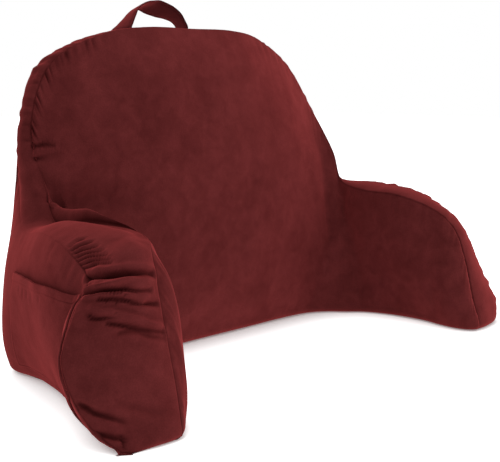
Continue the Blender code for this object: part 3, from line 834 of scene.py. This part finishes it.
down, forward = lengths(bed, 1), lengths(bed, 0)
up, back = down[:, -1:] - down, forward[-1:] - forward
open_edge = np.clip((POCKET_MOUTH - across_arm) / 0.25, 0, 1)[:, None] * np.ones((1, POCKET_ROWS))
sewn = np.minimum(np.minimum(up, np.minimum(forward, back)), np.where(open_edge > 0, 1, down))
round_off = np.sqrt(1 - (1 - np.clip(sewn / (1.3 * MM), 0, 1)) ** 2)
rim = np.sqrt(1 - (1 - np.clip(down / (1.2 * MM), 0, 1)) ** 2)
mouth = np.sin(math.pi * np.clip((across_arm - POCKET_BACK) / (POCKET_MOUTH - POCKET_BACK), 0, 1)) ** 0.8
ripple = 0.6 * MM * wander(forward[:, 0], 46, 71) * mouth
gape = (GAPE * mouth + ripple)[:, None] * np.clip(1 - down / (34 * MM), 0, 1) ** 2
hem = HEM_EXTRA * open_edge / (1 + np.exp((down - HEM_DEEP) / (0.7 * MM)))
stitch_line = 0.45 * MM * open_edge * np.exp(-((down - HEM_DEEP + 1.6 * MM) / (0.6 * MM)) ** 2)
stitch_line += 0.40 * MM * np.exp(-((np.minimum(forward, np.minimum(up, back)) - 4 * MM) / (0.8 * MM)) ** 2)
pull = np.zeros(bed.shape[:2])
for at, long in PULLS:
    below = np.clip((down - HEM_DEEP) / (long * MM), 0, 1)
    pull -= 0.45 * MM * np.exp(-((forward - at * MM) / (2.6 * MM)) ** 2) * np.sin(math.pi * below)
under = (POCKET_LIFT + gape) * (0.25 + 0.75 * round_off)
thick = (POCKET_THICK + hem) * (0.15 + 0.85 * round_off)
middle = under + thick / 2
half_thick = thick / 2 * np.where(open_edge > 0, rim, round_off)
facing = read_grid(cover_normal, *grid_place("out", place_u, place_v))
facing = unit(np.stack([soften(facing[..., k], 4) for k in range(3)], -1))
outer = bed + facing * (middle + half_thick - stitch_line + pull * (down > HEM_DEEP))[..., None]
inner = bed + facing * (middle - half_thick)[..., None]
print("pocket sheet:", outer.shape[:2], "points")

def both_faces(outside, inside):
    """One ring of values over the sheet's outer face and back over its inner one."""
    return np.concatenate([outside, inside[:, ::-1]], axis=1)


shell = both_faces(outer, inner)
closing = bed[[0, -1]] + facing[[0, -1]] * middle[[0, -1]][..., None]    # each side edge is one line
shell[[0, -1]] = both_faces(closing, closing)
# painted shade in the stitch grooves and in the drag lines under the hem, and the hem a little lighter
stitch_groove_shade = np.clip(stitch_line / (0.5 * MM), 0, 1) * 0.9
pocket_wear_and_shade = pull / MM * 0.4 + hem / HEM_EXTRA * 0.1
pocket = mesh_piece("patch_pocket", shell, grid_faces(*shell.shape[:2], closed=True),
                    stitched=both_faces(stitch_groove_shade, stitch_groove_shade), rubbed=both_faces(pocket_wear_and_shade, pocket_wear_and_shade))
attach(pocket, "root")
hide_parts("side_pocket")

# %% [markdown]
# ## Suede-like cloth
#
# The cloth is brushed microfibre.  Its short nap lies one way here and another there, which
# shows as soft darker and lighter patches, and it catches light at a glancing angle, which is
# what sheen does in the shader.  Three pieces are cut from it, so the nap is one node group
# with its own colours for each piece.  The marks kept on the meshes paint shade into the seams,
# stitch rows, folds and hollows, and rub the ridges a little lighter.

# %% Open the nap group
nap = bpy.data.node_groups.new("brushed_nap", "ShaderNodeTree")
for name, kind, value in (("Cloth", "NodeSocketColor", (0.1, 0.1, 0.1, 1)),
                          ("Light nap", "NodeSocketColor", (0.2, 0.2, 0.2, 1)),
                          ("Dark nap and shade", "NodeSocketColor", (0.05, 0.05, 0.05, 1)),
                          ("Patch scale", "NodeSocketFloat", 14.0),
                          ("Patch strength", "NodeSocketFloat", 1.0),
                          ("Grain scale", "NodeSocketFloat", 650.0)):
    made = nap.interface.new_socket(name, in_out="INPUT", socket_type=kind)
    made.default_value = value
for name, kind in (("Colour", "NodeSocketColor"), ("Roughness", "NodeSocketFloat"),
                   ("Height", "NodeSocketFloat")):
    nap.interface.new_socket(name, in_out="OUTPUT", socket_type=kind)
put_in, put_out = nap.nodes.new("NodeGroupInput"), nap.nodes.new("NodeGroupOutput")
where = nap.nodes.new("ShaderNodeTexCoord").outputs["Object"]
given, marks = put_in.outputs, {}
for mark in ("stitched", "rubbed"):
    reader = nap.nodes.new("ShaderNodeAttribute")
    reader.attribute_name = mark
    marks[mark] = reader.outputs["Fac"]
print("nap group takes", [socket.name for socket in given if socket.name])

# %% Helpers that draw its nodes
def feed(socket, value):
    """Link another node's output to a socket, or set a plain value on it."""
    if hasattr(value, "links"):
        nap.links.new(value, socket)
    else:
        socket.default_value = value


def sums(operation, a, b, clamp=False):
    """A Math node over two sockets or numbers."""
    made = nap.nodes.new("ShaderNodeMath")
    made.operation, made.use_clamp = operation, clamp
    feed(made.inputs[0], a)
    feed(made.inputs[1], b)
    return made.outputs[0]


def scaled(value, factor, added=0.0):
    """A value times a factor, and more added where asked."""
    product = sums("MULTIPLY", value, factor)
    return sums("ADD", product, added) if added else product


def blend(share, a, b, way="MIX"):
    """A colour between two colours."""
    made = nap.nodes.new("ShaderNodeMix")
    made.data_type, made.blend_type = "RGBA", way
    for number, value in ((0, share), (6, a), (7, b)):
        feed(made.inputs[number], value)
    return made.outputs[2]


def cloudy(scale, detail, warp=0.0):
    """A noise texture's value, about 0.5 on average."""
    made = nap.nodes.new("ShaderNodeTexNoise")
    for name, value in (("Vector", where), ("Scale", scale), ("Detail", detail), ("Distortion", warp)):
        feed(made.inputs[name], value)
    return made.outputs["Fac"]


# %% Fill it: patches of lighter and darker nap, a fine grain, and the marks
broad = cloudy(given["Patch scale"], 3.0, 0.8)
small = cloudy(scaled(given["Patch scale"], 4.2), 3.0, 0.5)
grain = cloudy(given["Grain scale"], 2.0)
patches = sums("ADD", scaled(sums("SUBTRACT", broad, 0.5), 1.5), scaled(sums("SUBTRACT", small, 0.5), 1.6))
patches = sums("MULTIPLY", patches, given["Patch strength"])
# ridges a little lighter, as worn nap; troughs and hollows darker, a painted shade
rub = scaled(sums("MAXIMUM", sums("MINIMUM", marks["rubbed"], 1.0), -1.0), 0.22)
level = sums("ADD", sums("ADD", patches, rub), 0.5)       # 0.5 is the plain cloth
lighter = sums("SUBTRACT", scaled(level, 2.0), 1.0, clamp=True)
darker = sums("SUBTRACT", 1.0, scaled(level, 2.0), clamp=True)
# darker patches of nap, and the painted shade of troughs and hollows, go towards the dark nap colour
colour = blend(lighter, blend(darker, given["Cloth"], given["Dark nap and shade"]), given["Light nap"])
# the grain, times painted shade along the seams, stitch rows and narrow folds
shade = sums("MULTIPLY", scaled(grain, 0.5, 0.75), sums("SUBTRACT", 1.0, scaled(marks["stitched"], 0.6)))
grey = nap.nodes.new("ShaderNodeCombineColor")
for socket in grey.inputs:
    feed(socket, shade)
feed(put_out.inputs["Colour"], blend(1.0, colour, grey.outputs[0], "MULTIPLY"))
feed(put_out.inputs["Roughness"], scaled(small, 0.12, 0.82))
feed(put_out.inputs["Height"], sums("ADD", scaled(grain, 0.6), small))
print("nap group:", len(nap.nodes), "nodes")

# %% Cut cloth for the pieces
SHEEN = {"Sheen Weight": 0.42, "Sheen Roughness": 0.5, "Sheen Tint": (1.0, 0.14, 0.14, 1),
         "IOR": 1.03, "Specular IOR Level": 0.02}    # all sheen, hardly any gloss
GRAIN_STRENGTH, GRAIN_DEEP = 0.35, 0.8 * MM


def cloth_material(name, cloth, light, dark, patch_scale=14.0, patch_strength=1.0):
    """Brushed cloth: the nap group's colour, roughness and grain, with sheen on the shader."""
    made, shader = plain_material(name, cloth, 0.9)
    tree = made.node_tree
    group, bump = tree.nodes.new("ShaderNodeGroup"), tree.nodes.new("ShaderNodeBump")
    group.node_tree = nap
    for socket, colour in (("Cloth", cloth), ("Light nap", light), ("Dark nap and shade", dark)):
        group.inputs[socket].default_value = (*colour, 1)
    for there, values in ((group, {"Patch scale": patch_scale, "Patch strength": patch_strength}),
                          (bump, {"Strength": GRAIN_STRENGTH, "Distance": GRAIN_DEEP}), (shader, SHEEN)):
        for socket, value in values.items():
            there.inputs[socket].default_value = value
    for output, entry in ((group.outputs["Colour"], shader.inputs["Base Color"]),
                          (group.outputs["Roughness"], shader.inputs["Roughness"]),
                          (group.outputs["Height"], bump.inputs["Height"]),
                          (bump.outputs["Normal"], shader.inputs["Normal"])):
        tree.links.new(output, entry)
    return made


maroon = dict(cloth=(0.083, 0.0142, 0.0143), light=(0.104, 0.0180, 0.0182), dark=(0.064, 0.0107, 0.0108))
cushion.data.materials.append(cloth_material("maroon_suede_cover", **maroon))
pocket.data.materials.append(cloth_material("maroon_suede_pocket", patch_scale=17.0, **maroon))
handle.data.materials.append(cloth_material("maroon_strap", (0.042, 0.0088, 0.0094), (0.051, 0.0107, 0.0113),
                                            (0.034, 0.0072, 0.0078), patch_scale=30.0, patch_strength=0.6))
print("materials:", [m.name for m in bpy.data.materials if m.users])
